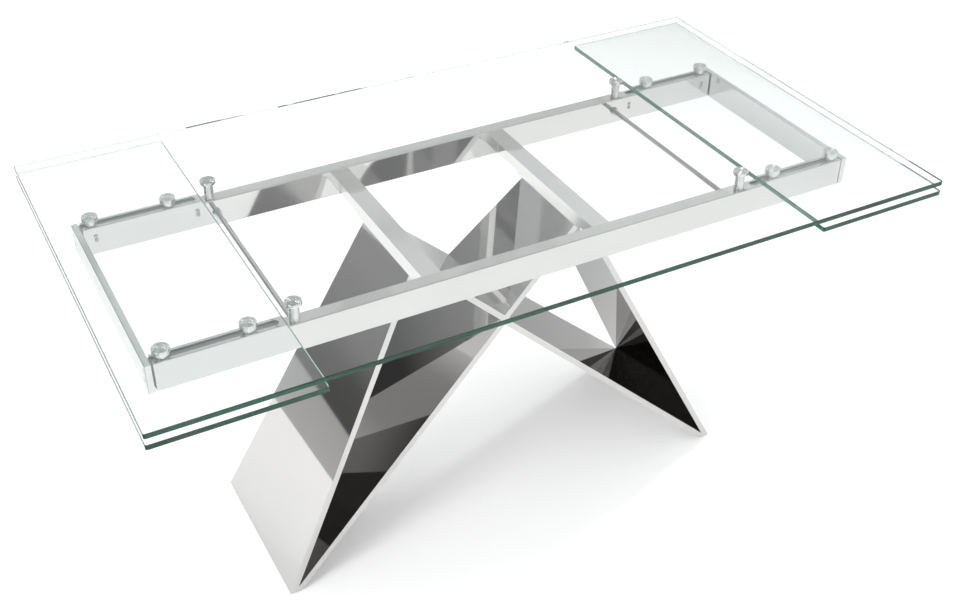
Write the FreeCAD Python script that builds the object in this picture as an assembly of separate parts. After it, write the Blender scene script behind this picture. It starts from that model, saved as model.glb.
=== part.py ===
"""Extendable dining table: clear glass top, two glass end leaves on telescopic slides,
a frame of rectangular steel tubes and a crossed base of polished steel panels.

Units are millimetres, +Z is up. The origin is on the floor under the middle of the table.
X runs along the table, so the leaves slide out along -X and +X, and Y runs across it.
Each sub-part has one function, and each is written to parts/NAME.step.
"""
import FreeCAD, Part
import math
import os

from FreeCAD import Vector

# ---------------------------------------------------------------- glass
TABLE_LENGTH = 1600.0        # closed length, the length of the fixed top
TABLE_WIDTH = 900.0
TABLE_HEIGHT = 760.0
GLASS_THICKNESS = 10.0
GLASS_CORNER_RADIUS = 4.0    # plan radius at each corner of a pane
GLASS_ARRIS = 0.8            # ground chamfer along the edges
LEAF_DEPTH = 297.0           # leaf size along X
LEAF_STEP = 22.0             # how far a leaf's upper face lies under the top's upper face
LEAF_TRAVEL = 300.0          # how far a leaf slides out

# ---------------------------------------------------------------- side rails (rectangular tube)
RAIL_WIDTH = 30.0
RAIL_HEIGHT = 58.0
RAIL_WALL = 1.5
RAIL_EDGE_RADIUS = 2.0
RAIL_DROP = 50.0             # rail's upper face under the top's upper face
RAIL_INSET = 207.5           # from the glass edge to the rail's outer face
RAIL_END_INSET = 71.0        # from the glass end to the rail's end
SLOT_WIDTH = 16.0            # slot in the rail's upper face, for the leaf pads
SLOT_LENGTH = 224.0          # from the rail's end to the slot's rounded end

# ---------------------------------------------------------------- end bars
END_BAR_THICKNESS = 12.0
END_BAR_GAP = 3.0            # between the rail's end and the end bar, leaf pushed in

# ---------------------------------------------------------------- crossbars and tie rods
CROSSBAR_WIDTH = 40.0
CROSSBAR_HEIGHT = 25.0
CROSSBAR_WALL = 2.0
CROSSBAR_X = 186.0           # centre of a crossbar from the middle of the table
TIE_ROD_DIAMETER = 10.0
TIE_ROD_INSET = 332.0        # from the glass end to the rod's axis
TIE_ROD_DROP = 29.0          # rod's axis under the rail's upper face
TIE_NUT_FLATS = 16.0
TIE_NUT_HEIGHT = 6.0

# ---------------------------------------------------------------- standoffs and pads under the glass
DISC_DIAMETER = 31.0
DISC_THICKNESS = 7.0
DISC_CHAMFER = 0.6
STANDOFF_INSET = 324.0       # tall standoffs, from the glass end
STANDOFF_STEM_DIAMETER = 19.5
PAD_INNER_INSET = 241.0      # low pads under a leaf, from the glass end
PAD_OUTER_INSET = 90.0
PAD_NECK_DIAMETER = 22.0
PAD_SPIGOT_DIAMETER = 12.0   # passes through the slot
PAD_CLEARANCE = 1.0          # between a pad's neck and the rail's upper face
M8 = 8.0
M8_HEAD_DIAMETER = 13.0
M8_HEAD_HEIGHT = 6.0
M8_REACH = 15.0              # thread length inside a standoff
M6 = 6.0
STUD_REACH = 10.0            # stud length inside a pad

# ---------------------------------------------------------------- telescopic slides and slider bars
SLIDE_OVERLAP = 90.0         # of each two members, leaf pulled out
SLIDE_HEIGHT = 38.0
BALL_TRACK_SHARE = 9 / 76    # of the slide's height, space for the balls between two members
SLIDE_DEPTH = 11.0
SLIDE_SHEET = 1.2
SLIDE_LIP = 2.5              # return lip at the edge of a flange
SLIDE_END_INSET = 2.0        # outer member's end from the rail's end
SLIDE_DROP = 28.5            # slide's centre line under the rail's upper face
STAGE_CLEARANCE = 1.2        # between two members' webs
SLIDER_THICKNESS = 12.0      # web of the slider bar
SLIDER_FLANGE = 5.0          # thickness of its upper flange
SLIDER_FLANGE_WIDTH = 19.0
SLIDER_SETBACK = 8.0         # bar's inner end from the slide's inner end
SLIDER_TOP_CLEARANCE = 2.0   # under the tube's upper wall
SLIDER_HEIGHT = 44.0
SLIDE_SCREW_DIAMETER = 4.0
SLIDE_SCREW_HEAD = 8.0
SLIDE_SCREW_HEAD_HEIGHT = 2.2
SLIDE_SCREW_END_INSET = 20.0     # screw pair from the slide's end
SLIDE_SCREW_PITCH = 9.0          # between the two screws of a pair
BAR_SCREW_DIAMETER = 6.0
BAR_SCREW_HEAD = 12.0
BAR_SCREW_REACH = 18.0
BAR_SCREW_PITCH = 20.0

# ---------------------------------------------------------------- base panels
PANEL_THICKNESS = 12.0
PANEL_EDGE_CHAMFER = 0.8
FOOT_CREASE_X = 509.0        # where the two panels of a foot part, from the middle
FOOT_CREASE_HEIGHT = 12.0    # height of that crease over the floor
FOOT_HALF_DEPTH = 186.0      # half of a panel's size across the table, at the floor
HEAD_HALF_DEPTH = 106.0      # the same at the top
SOLE_THICKNESS = 2.0
SOLE_INSET = 1.5
HEAD_PLATE_THICKNESS = 6.0
HEAD_PLATE_OVERHANG = 24.0   # head plate past the panels, across the table
BASE_NUT_FLATS = 13.0
BASE_NUT_HEIGHT = 6.5

# ---------------------------------------------------------------- levels and places that follow
TOP_UNDERSIDE = TABLE_HEIGHT - GLASS_THICKNESS
LEAF_UPPER = TABLE_HEIGHT - LEAF_STEP
LEAF_UNDERSIDE = LEAF_UPPER - GLASS_THICKNESS
RAIL_TOP = TABLE_HEIGHT - RAIL_DROP
RAIL_BOTTOM = RAIL_TOP - RAIL_HEIGHT
RAIL_Y = TABLE_WIDTH / 2 - RAIL_INSET - RAIL_WIDTH / 2
RAIL_INNER_Y = RAIL_Y - RAIL_WIDTH / 2
RAIL_OUTER_Y = RAIL_Y + RAIL_WIDTH / 2
RAIL_END = TABLE_LENGTH / 2 - RAIL_END_INSET
TIE_ROD_X = TABLE_LENGTH / 2 - TIE_ROD_INSET
STANDOFF_X = TABLE_LENGTH / 2 - STANDOFF_INSET
PAD_INNER_X = TABLE_LENGTH / 2 - PAD_INNER_INSET
PAD_OUTER_X = TABLE_LENGTH / 2 - PAD_OUTER_INSET
BAR_INNER_X = RAIL_END + END_BAR_GAP
BAR_OUTER_X = BAR_INNER_X + END_BAR_THICKNESS
SLIDE_WALL_Y = RAIL_INNER_Y + RAIL_WALL
SLIDE_Z = RAIL_TOP - SLIDE_DROP
SLIDE_LENGTH = LEAF_TRAVEL / 2 + SLIDE_OVERLAP
BALL_TRACK = SLIDE_HEIGHT * BALL_TRACK_SHARE
SLIDE_X1 = RAIL_END - SLIDE_END_INSET
SLIDE_X0 = SLIDE_X1 - SLIDE_LENGTH
SLIDER_Y0 = SLIDE_WALL_Y + SLIDE_DEPTH
SLIDER_TOP = RAIL_TOP - RAIL_WALL - SLIDER_TOP_CLEARANCE
TIE_ROD_Z = RAIL_TOP - TIE_ROD_DROP
HEAD_PLATE_Z = RAIL_BOTTOM - HEAD_PLATE_THICKNESS
BASE_BOLT_Y = HEAD_HALF_DEPTH + HEAD_PLATE_OVERHANG / 2
SIDES = {"left": -1, "right": 1}
ROWS = {"front": -1, "back": 1}


# ---------------------------------------------------------------- small shape helpers
def box(x0, x1, y0, y1, z0, z1):
    """A box between two corners, given in either order."""
    lows = [min(pair) for pair in ((x0, x1), (y0, y1), (z0, z1))]
    sizes = [abs(b - a) for a, b in ((x0, x1), (y0, y1), (z0, z1))]
    return Part.makeBox(*sizes, Vector(*lows))


def rod(diameter, start, end):
    """A round bar from one point to another."""
    axis = Vector(*end) - Vector(*start)
    return Part.makeCylinder(diameter / 2, axis.Length, Vector(*start), axis)


def hexagon(flats, height, start, axis):
    """A hexagonal prism, such as a nut or a bolt head, standing on start."""
    corner = flats / math.sqrt(3)
    ring = [Vector(corner * math.cos(k * math.pi / 3), corner * math.sin(k * math.pi / 3), 0)
            for k in range(7)]
    prism = Part.Face(Part.makePolygon(ring)).extrude(Vector(0, 0, height))
    turn = FreeCAD.Rotation(Vector(0, 0, 1), Vector(*axis))
    prism.Placement = FreeCAD.Placement(Vector(*start), turn)
    return prism


def turned(profile, x, y):
    """A turned piece about a vertical axis at x, y; profile is (radius, z) from axis to axis."""
    outline = Part.makePolygon([Vector(r, 0, z) for r, z in profile + profile[:1]])
    piece = Part.Face(outline).revolve(Vector(0, 0, 0), Vector(0, 0, 1), 360)
    piece.translate(Vector(x, y, 0))
    return piece


def joined(shapes):
    """Fuse touching shapes into one solid."""
    result = shapes[0]
    for shape in shapes[1:]:
        result = result.fuse(shape)
    return result.removeSplitter()


def cut(shape, tools):
    """Cut every tool out of a shape."""
    for tool in tools:
        shape = shape.cut(tool)
    return shape


def mirrored(shape, side, row=1):
    """Put a shape made for the right and the back into its own quarter of the table."""
    if side < 0:
        shape = shape.mirror(Vector(0, 0, 0), Vector(1, 0, 0))
    if row < 0:
        shape = shape.mirror(Vector(0, 0, 0), Vector(0, 1, 0))
    return shape


def rounded_bar(width, height, radius, length, start):
    """A bar along X whose section is a rounded rectangle in Y and Z, from start."""
    bar = box(0, length, -width / 2, width / 2, -height / 2, height / 2)
    long_edges = [edge for edge in bar.Edges if abs(edge.tangentAt(edge.FirstParameter).x) > 0.9]
    bar = bar.makeFillet(radius, long_edges)
    bar.translate(Vector(*start))
    return bar


# ---------------------------------------------------------------- glass panes
def pane(x0, x1, upper):
    """A rectangular pane over the table's whole width, with ground edges."""
    glass = box(x0, x1, -TABLE_WIDTH / 2, TABLE_WIDTH / 2, upper - GLASS_THICKNESS, upper)
    upright = [edge for edge in glass.Edges if abs(edge.tangentAt(edge.FirstParameter).z) > 0.9]
    glass = glass.makeFillet(GLASS_CORNER_RADIUS, upright)
    rims = [edge for edge in glass.Edges
            if abs(edge.BoundBox.ZMax - edge.BoundBox.ZMin) < 1e-6]
    return glass.makeChamfer(GLASS_ARRIS, rims)


def top_glass():
    return pane(-TABLE_LENGTH / 2, TABLE_LENGTH / 2, TABLE_HEIGHT)


def leaf_glass(side):
    return mirrored(pane(TABLE_LENGTH / 2 - LEAF_DEPTH, TABLE_LENGTH / 2, LEAF_UPPER), side)


# ---------------------------------------------------------------- frame
def slide_screw_places():
    """X and Z of the screws that hold one outer slide member to its rail."""
    places = []
    for x in (SLIDE_X0 + SLIDE_SCREW_END_INSET, SLIDE_X1 - SLIDE_SCREW_END_INSET):
        for z in (SLIDE_Z, SLIDE_Z + SLIDE_SCREW_PITCH):
            places.append((x, z))
    return places


def side_rail(row):
    """Tube with two open slots in its upper face and the holes for what it carries."""
    length = 2 * RAIL_END
    centre_z = (RAIL_TOP + RAIL_BOTTOM) / 2
    start = (-RAIL_END, RAIL_Y, centre_z)
    tube = rounded_bar(RAIL_WIDTH, RAIL_HEIGHT, RAIL_EDGE_RADIUS, length, start)
    bore_radius = max(RAIL_EDGE_RADIUS - RAIL_WALL, RAIL_WALL / 3)
    bore = rounded_bar(RAIL_WIDTH - 2 * RAIL_WALL, RAIL_HEIGHT - 2 * RAIL_WALL, bore_radius, length, start)
    tools = [bore]
    for side in SIDES.values():
        slot_end = RAIL_END - SLOT_LENGTH + SLOT_WIDTH / 2
        wall_low = RAIL_TOP - 2 * RAIL_WALL
        wall_high = RAIL_TOP + RAIL_WALL
        tools.append(box(side * slot_end, side * (RAIL_END + RAIL_WALL),
                         RAIL_Y - SLOT_WIDTH / 2, RAIL_Y + SLOT_WIDTH / 2, wall_low, wall_high))
        tools.append(rod(SLOT_WIDTH, (side * slot_end, RAIL_Y, wall_low), (side * slot_end, RAIL_Y, wall_high)))
        standoff = side * STANDOFF_X
        tools.append(rod(M8, (standoff, RAIL_Y, wall_low), (standoff, RAIL_Y, wall_high)))
        inner = (RAIL_INNER_Y - RAIL_WALL, RAIL_INNER_Y + 2 * RAIL_WALL)
        tools.append(rod(TIE_ROD_DIAMETER, (side * TIE_ROD_X, inner[0], TIE_ROD_Z),
                         (side * TIE_ROD_X, inner[1], TIE_ROD_Z)))
        for x, z in slide_screw_places():
            tools.append(rod(SLIDE_SCREW_DIAMETER, (side * x, inner[0], z), (side * x, inner[1], z)))
    return mirrored(cut(tube, tools), 1, row)


def crossbar(side):
    """Flat tube between the rails, low in the frame; the base is bolted to its underside."""
    x0 = CROSSBAR_X - CROSSBAR_WIDTH / 2
    x1 = CROSSBAR_X + CROSSBAR_WIDTH / 2
    upper = RAIL_BOTTOM + CROSSBAR_HEIGHT
    tube = box(x0, x1, -RAIL_INNER_Y, RAIL_INNER_Y, RAIL_BOTTOM, upper)
    bore = box(x0 + CROSSBAR_WALL, x1 - CROSSBAR_WALL, -RAIL_INNER_Y, RAIL_INNER_Y,
               RAIL_BOTTOM + CROSSBAR_WALL, upper - CROSSBAR_WALL)
    holes = [rod(M8, (x, y, RAIL_BOTTOM - CROSSBAR_WALL), (x, y, RAIL_BOTTOM + 2 * CROSSBAR_WALL))
             for x, y in base_bolt_places()]
    return mirrored(cut(tube, [bore] + holes), side)


def tie_rod(side):
    """Round rod between the rails, threaded into nuts on both faces of each inner wall."""
    reach = SLIDE_WALL_Y + TIE_NUT_HEIGHT
    return rod(TIE_ROD_DIAMETER, (side * TIE_ROD_X, -reach, TIE_ROD_Z), (side * TIE_ROD_X, reach, TIE_ROD_Z))


def tie_rod_nuts():
    nuts = []
    for side in SIDES.values():
        for row in ROWS.values():
            for start in (RAIL_INNER_Y - TIE_NUT_HEIGHT, SLIDE_WALL_Y):
                nut = hexagon(TIE_NUT_FLATS, TIE_NUT_HEIGHT, (TIE_ROD_X, start, TIE_ROD_Z), (0, 1, 0))
                hole = rod(TIE_ROD_DIAMETER, (TIE_ROD_X, 0, TIE_ROD_Z), (TIE_ROD_X, RAIL_OUTER_Y, TIE_ROD_Z))
                nuts.append(mirrored(nut.cut(hole), side, row))
    return Part.makeCompound(nuts)


# ---------------------------------------------------------------- turned pieces under the glass
def standoff(side, row):
    """Turned column with a wide head: it is bonded to the top and screwed to the rail."""
    head = DISC_DIAMETER / 2
    stem = STANDOFF_STEM_DIAMETER / 2
    neck_z = TOP_UNDERSIDE - DISC_THICKNESS
    profile = [(0, RAIL_TOP), (stem - DISC_CHAMFER, RAIL_TOP), (stem, RAIL_TOP + DISC_CHAMFER),
               (stem, neck_z), (head - DISC_CHAMFER, neck_z), (head, neck_z + DISC_CHAMFER),
               (head, TOP_UNDERSIDE - DISC_CHAMFER), (head - DISC_CHAMFER, TOP_UNDERSIDE), (0, TOP_UNDERSIDE)]
    x = side * STANDOFF_X
    y = row * RAIL_Y
    return turned(profile, x, y).cut(rod(M8, (x, y, RAIL_TOP), (x, y, RAIL_TOP + M8_REACH)))


def standoff_screws():
    """Cap screws that hold the four standoffs from inside the rails."""
    screws = []
    seat = RAIL_TOP - RAIL_WALL
    for side in SIDES.values():
        for row in ROWS.values():
            x = side * STANDOFF_X
            y = row * RAIL_Y
            head = rod(M8_HEAD_DIAMETER, (x, y, seat - M8_HEAD_HEIGHT), (x, y, seat))
            shank = rod(M8, (x, y, seat), (x, y, RAIL_TOP + M8_REACH))
            screws.append(joined([head, shank]))
    return Part.makeCompound(screws)


def leaf_pad(side, row, pad_x):
    """Low turned pad: bonded to a leaf, its spigot stands on the slider bar through the slot."""
    head = DISC_DIAMETER / 2
    neck = PAD_NECK_DIAMETER / 2
    spigot = PAD_SPIGOT_DIAMETER / 2
    shoulder_z = RAIL_TOP + PAD_CLEARANCE
    neck_z = LEAF_UNDERSIDE - DISC_THICKNESS
    profile = [(0, SLIDER_TOP), (spigot, SLIDER_TOP), (spigot, shoulder_z),
               (neck - DISC_CHAMFER, shoulder_z), (neck, shoulder_z + DISC_CHAMFER),
               (neck, neck_z), (head - DISC_CHAMFER, neck_z), (head, neck_z + DISC_CHAMFER),
               (head, LEAF_UNDERSIDE - DISC_CHAMFER), (head - DISC_CHAMFER, LEAF_UNDERSIDE),
               (0, LEAF_UNDERSIDE)]
    x = side * pad_x
    y = row * RAIL_Y
    return turned(profile, x, y).cut(rod(M6, (x, y, SLIDER_TOP), (x, y, SLIDER_TOP + STUD_REACH)))


def leaf_pad_studs(side):
    """Studs between one leaf's four pads and its slider bars."""
    studs = []
    for row in ROWS.values():
        for x in (side * PAD_INNER_X, side * PAD_OUTER_X):
            y = row * RAIL_Y
            studs.append(rod(M6, (x, y, SLIDER_TOP - SLIDER_FLANGE), (x, y, SLIDER_TOP + STUD_REACH)))
    return Part.makeCompound(studs)


# ---------------------------------------------------------------- telescopic slides
def channel(half_height, near, far, web_at_near, lip_sign):
    """A C section along the slide: near and far are depths from the rail's inner wall.

    lip_sign -1 turns the lips towards the middle, 0 leaves the flanges plain.
    """
    web = (near, near + SLIDE_SHEET) if web_at_near else (far - SLIDE_SHEET, far)
    edge = (far - SLIDE_SHEET, far) if web_at_near else (near, near + SLIDE_SHEET)
    pieces = [box(SLIDE_X0, SLIDE_X1, SLIDE_WALL_Y + web[0], SLIDE_WALL_Y + web[1],
                  SLIDE_Z - half_height, SLIDE_Z + half_height)]
    for up in (-1, 1):
        outer_z = SLIDE_Z + up * half_height
        inner_z = outer_z - up * SLIDE_SHEET
        pieces.append(box(SLIDE_X0, SLIDE_X1, SLIDE_WALL_Y + near, SLIDE_WALL_Y + far, outer_z, inner_z))
        if lip_sign:
            lip_z = inner_z + lip_sign * up * SLIDE_LIP
            pieces.append(box(SLIDE_X0, SLIDE_X1, SLIDE_WALL_Y + edge[0], SLIDE_WALL_Y + edge[1], inner_z, lip_z))
    return joined(pieces)


OUTER_HALF = SLIDE_HEIGHT / 2
MIDDLE_HALF = OUTER_HALF - SLIDE_SHEET - BALL_TRACK
INNER_HALF = MIDDLE_HALF - SLIDE_SHEET - BALL_TRACK
INNER_SCREW_X = (SLIDE_X0 + SLIDE_SCREW_END_INSET, SLIDE_X1 - SLIDE_SCREW_END_INSET)


def slide_outer(side, row):
    """Fixed member, screwed to the rail's inner wall."""
    far = SLIDE_DEPTH - SLIDE_SHEET / 2
    member = channel(OUTER_HALF, 0, far, True, -1)
    holes = [rod(SLIDE_SCREW_DIAMETER, (x, RAIL_INNER_Y, z), (x, SLIDE_WALL_Y + 2 * SLIDE_SHEET, z))
             for x, z in slide_screw_places()]
    return mirrored(cut(member, holes), side, row)


def slide_middle(side, row):
    """Intermediate member: it runs half as far as the leaf."""
    near = SLIDE_SHEET + STAGE_CLEARANCE
    far = SLIDE_DEPTH - SLIDE_SHEET
    return mirrored(channel(MIDDLE_HALF, near, far, True, 0), side, row)


def slide_inner(side, row):
    """Moving member, screwed to the slider bar."""
    near = 2 * (SLIDE_SHEET + STAGE_CLEARANCE)
    member = channel(INNER_HALF, near, SLIDE_DEPTH, False, 0)
    holes = [rod(SLIDE_SCREW_DIAMETER, (x, SLIDER_Y0 - 2 * SLIDE_SHEET, SLIDE_Z), (x, SLIDER_Y0, SLIDE_Z))
             for x in INNER_SCREW_X]
    return mirrored(cut(member, holes), side, row)


def slide_mount_screws():
    """Pan head screws through each rail's inner wall into the outer slide members."""
    screws = []
    for side in SIDES.values():
        for row in ROWS.values():
            for x, z in slide_screw_places():
                tip = SLIDE_WALL_Y + SLIDE_SHEET
                head = rod(SLIDE_SCREW_HEAD, (x, RAIL_INNER_Y - SLIDE_SCREW_HEAD_HEIGHT, z), (x, RAIL_INNER_Y, z))
                rims = [edge for edge in head.Edges
                        if edge.BoundBox.YMax < RAIL_INNER_Y - SLIDE_SCREW_HEAD_HEIGHT / 2]
                head = head.makeFillet(SLIDE_SCREW_HEAD_HEIGHT / 2, rims)
                shank = rod(SLIDE_SCREW_DIAMETER, (x, RAIL_INNER_Y, z), (x, tip, z))
                screws.append(mirrored(joined([head, shank]), side, row))
    return Part.makeCompound(screws)


# ---------------------------------------------------------------- leaf carriages
def bar_screw_places():
    """Y and Z of the two screws between an end bar and one slider bar."""
    y = SLIDER_Y0 + SLIDER_THICKNESS / 2
    middle = SLIDER_TOP - SLIDER_HEIGHT / 2
    return [(y, middle - BAR_SCREW_PITCH / 2), (y, middle + BAR_SCREW_PITCH / 2)]


def slider_bar(side, row):
    """L section inside the rail: the web carries the slide, the flange carries the pads."""
    x0 = SLIDE_X0 + SLIDER_SETBACK
    y1 = SLIDER_Y0 + SLIDER_THICKNESS
    web = box(x0, BAR_INNER_X, SLIDER_Y0, y1, SLIDER_TOP - SLIDER_HEIGHT, SLIDER_TOP)
    flange = box(x0, BAR_INNER_X, y1 - SLIDER_FLANGE_WIDTH, y1, SLIDER_TOP - SLIDER_FLANGE, SLIDER_TOP)
    tools = [rod(M6, (x, RAIL_Y, SLIDER_TOP - SLIDER_FLANGE), (x, RAIL_Y, SLIDER_TOP))
             for x in (PAD_INNER_X, PAD_OUTER_X)]
    tools += [rod(BAR_SCREW_DIAMETER, (BAR_INNER_X - BAR_SCREW_REACH, y, z), (BAR_INNER_X, y, z))
              for y, z in bar_screw_places()]
    tools += [rod(SLIDE_SCREW_DIAMETER, (x, SLIDER_Y0, SLIDE_Z), (x, y1 - SLIDE_SHEET, SLIDE_Z))
              for x in INNER_SCREW_X]
    return mirrored(cut(joined([web, flange]), tools), side, row)


def end_bar(side):
    """Flat bar that closes both rails' ends and ties the two slider bars together."""
    bar = box(BAR_INNER_X, BAR_OUTER_X, -RAIL_OUTER_Y, RAIL_OUTER_Y, RAIL_BOTTOM, RAIL_TOP)
    bar = bar.makeChamfer(PANEL_EDGE_CHAMFER, bar.Edges)
    tools = []
    for row in ROWS.values():
        for y, z in bar_screw_places():
            tools.append(rod(BAR_SCREW_DIAMETER, (BAR_INNER_X, row * y, z), (BAR_OUTER_X, row * y, z)))
            sink = Part.makeCone(BAR_SCREW_DIAMETER / 2, BAR_SCREW_HEAD / 2,
                                 (BAR_SCREW_HEAD - BAR_SCREW_DIAMETER) / 2,
                                 Vector(BAR_OUTER_X - (BAR_SCREW_HEAD - BAR_SCREW_DIAMETER) / 2, row * y, z),
                                 Vector(1, 0, 0))
            tools.append(sink)
    return mirrored(cut(bar, tools), side)


def carriage_screws(side):
    """Countersunk screws of the end bar, and the screws of the inner slide members."""
    screws = []
    sink_depth = (BAR_SCREW_HEAD - BAR_SCREW_DIAMETER) / 2
    for row in ROWS.values():
        for y, z in bar_screw_places():
            shank = rod(BAR_SCREW_DIAMETER, (BAR_INNER_X - BAR_SCREW_REACH, y, z), (BAR_OUTER_X, y, z))
            head = Part.makeCone(BAR_SCREW_DIAMETER / 2, BAR_SCREW_HEAD / 2, sink_depth,
                                 Vector(BAR_OUTER_X - sink_depth, y, z), Vector(1, 0, 0))
            socket = hexagon(BAR_SCREW_DIAMETER / 3 * 2, sink_depth, (BAR_OUTER_X - sink_depth, y, z), (1, 0, 0))
            screws.append(mirrored(joined([shank, head]).cut(socket), side, row))
        for x in INNER_SCREW_X:
            seat = SLIDER_Y0 - SLIDE_SHEET
            tip = SLIDER_Y0 + SLIDER_THICKNESS - SLIDE_SHEET
            head = rod(SLIDE_SCREW_HEAD, (x, seat - SLIDE_SHEET, SLIDE_Z), (x, seat, SLIDE_Z))
            shank = rod(SLIDE_SCREW_DIAMETER, (x, seat, SLIDE_Z), (x, tip, SLIDE_Z))
            screws.append(mirrored(joined([head, shank]), side, row))
    return Part.makeCompound(screws)


# ---------------------------------------------------------------- base
class Line:
    """A straight line in the X-Z plane, given by a point and an angle from the X axis."""

    def __init__(self, x, z, angle):
        self.x = x
        self.z = z
        self.angle = angle

    def offset(self, distance):
        """The parallel line at a distance to the left of this line's direction."""
        return Line(self.x - distance * math.sin(self.angle), self.z + distance * math.cos(self.angle), self.angle)

    def at_height(self, z):
        return (self.x + (z - self.z) / math.tan(self.angle), z)

    def at_x(self, x):
        return (x, self.z + (x - self.x) * math.tan(self.angle))


# Right half of the base, seen from the front. The steep panel's inner face runs from the foot's
# crease to the head, and the long panel crosses the middle to the other head.
HEAD_CREASE_Z = HEAD_PLATE_Z
CREASE_RISE = HEAD_CREASE_Z - FOOT_CREASE_HEIGHT
STEEP_INNER = Line(CROSSBAR_X, HEAD_CREASE_Z, math.atan2(CREASE_RISE, CROSSBAR_X - FOOT_CREASE_X))
STEEP_OUTER = STEEP_INNER.offset(-PANEL_THICKNESS)
LONG_RUN = -CROSSBAR_X - FOOT_CREASE_X
LONG_ANGLE = (math.atan2(CREASE_RISE, LONG_RUN)
              - math.asin(PANEL_THICKNESS / math.hypot(LONG_RUN, CREASE_RISE)))
LONG_UPPER = Line(FOOT_CREASE_X, FOOT_CREASE_HEIGHT, LONG_ANGLE)
LONG_LOWER = LONG_UPPER.offset(PANEL_THICKNESS)


def tapered(section):
    """Extrude a section of the base across the table and taper it from foot to head."""
    outline = Part.makePolygon([Vector(x, -FOOT_HALF_DEPTH, z) for x, z in section + section[:1]])
    block = Part.Face(outline).extrude(Vector(0, 2 * FOOT_HALF_DEPTH, 0))
    reach = TABLE_LENGTH / 2
    sides = [(-FOOT_HALF_DEPTH, SOLE_THICKNESS), (FOOT_HALF_DEPTH, SOLE_THICKNESS),
             (HEAD_HALF_DEPTH, HEAD_PLATE_Z), (-HEAD_HALF_DEPTH, HEAD_PLATE_Z)]
    wedge = Part.Face(Part.makePolygon([Vector(-reach, y, z) for y, z in sides + sides[:1]]))
    return block.common(wedge.extrude(Vector(2 * reach, 0, 0)))


def outer_panel(side):
    """Steep panel from a foot up to the crossbar on the same side."""
    section = [STEEP_OUTER.at_height(SOLE_THICKNESS), STEEP_OUTER.at_height(HEAD_PLATE_Z),
               (CROSSBAR_X, HEAD_PLATE_Z), (FOOT_CREASE_X, FOOT_CREASE_HEIGHT), (FOOT_CREASE_X, SOLE_THICKNESS)]
    return mirrored(tapered(section), side)


def long_panel_section():
    """The whole long panel of the right foot, up to the left head."""
    return [(FOOT_CREASE_X, SOLE_THICKNESS), (FOOT_CREASE_X, FOOT_CREASE_HEIGHT),
            LONG_UPPER.at_height(HEAD_PLATE_Z), (-CROSSBAR_X, HEAD_PLATE_Z),
            LONG_LOWER.at_height(SOLE_THICKNESS)]


def cross_panel_left():
    """Long panel from the left foot to the right crossbar, in one piece."""
    return mirrored(tapered(long_panel_section()), -1)


def cross_panel_right(upper):
    """Long panel of the right foot, in two pieces that meet the other long panel's faces."""
    whole = tapered(long_panel_section()).cut(cross_panel_left())
    pieces = sorted(whole.Solids, key=lambda solid: solid.CenterOfMass.z)
    return pieces[-1] if upper else pieces[0]


def sole(side):
    """Thin glide strip under a foot."""
    x_out = STEEP_OUTER.at_height(SOLE_THICKNESS)[0] - SOLE_INSET
    x_in = LONG_LOWER.at_height(SOLE_THICKNESS)[0] + SOLE_INSET
    half = FOOT_HALF_DEPTH - SOLE_INSET
    return mirrored(box(x_in, x_out, -half, half, 0, SOLE_THICKNESS), side)


def base_bolt_places():
    """X and Y of the two bolts of the right head plate."""
    return [(CROSSBAR_X, -BASE_BOLT_Y), (CROSSBAR_X, BASE_BOLT_Y)]


def head_plate(side):
    """Plate welded on top of two panels and bolted under a crossbar."""
    half = HEAD_HALF_DEPTH + HEAD_PLATE_OVERHANG
    plate = box(CROSSBAR_X - CROSSBAR_WIDTH / 2, CROSSBAR_X + CROSSBAR_WIDTH / 2, -half, half,
                HEAD_PLATE_Z, RAIL_BOTTOM)
    holes = [rod(M8, (x, y, HEAD_PLATE_Z), (x, y, RAIL_BOTTOM)) for x, y in base_bolt_places()]
    return mirrored(cut(plate, holes), side)


def base_bolts():
    """Hexagon bolts from below, through the head plates into the crossbars."""
    bolts = []
    tip = RAIL_BOTTOM + CROSSBAR_WALL + BASE_NUT_HEIGHT
    for side in SIDES.values():
        for x, y in base_bolt_places():
            head = hexagon(M8_HEAD_DIAMETER, M8_HEAD_HEIGHT, (x, y, HEAD_PLATE_Z - M8_HEAD_HEIGHT), (0, 0, 1))
            shank = rod(M8, (x, y, HEAD_PLATE_Z), (x, y, tip))
            bolts.append(mirrored(joined([head, shank]), side))
    return Part.makeCompound(bolts)


def base_nuts():
    """Nuts inside the crossbars, one on each base bolt."""
    nuts = []
    seat = RAIL_BOTTOM + CROSSBAR_WALL
    for side in SIDES.values():
        for x, y in base_bolt_places():
            nut = hexagon(BASE_NUT_FLATS, BASE_NUT_HEIGHT, (x, y, seat), (0, 0, 1))
            nuts.append(mirrored(nut.cut(rod(M8, (x, y, seat), (x, y, seat + BASE_NUT_HEIGHT))), side))
    return Part.makeCompound(nuts)


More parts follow.
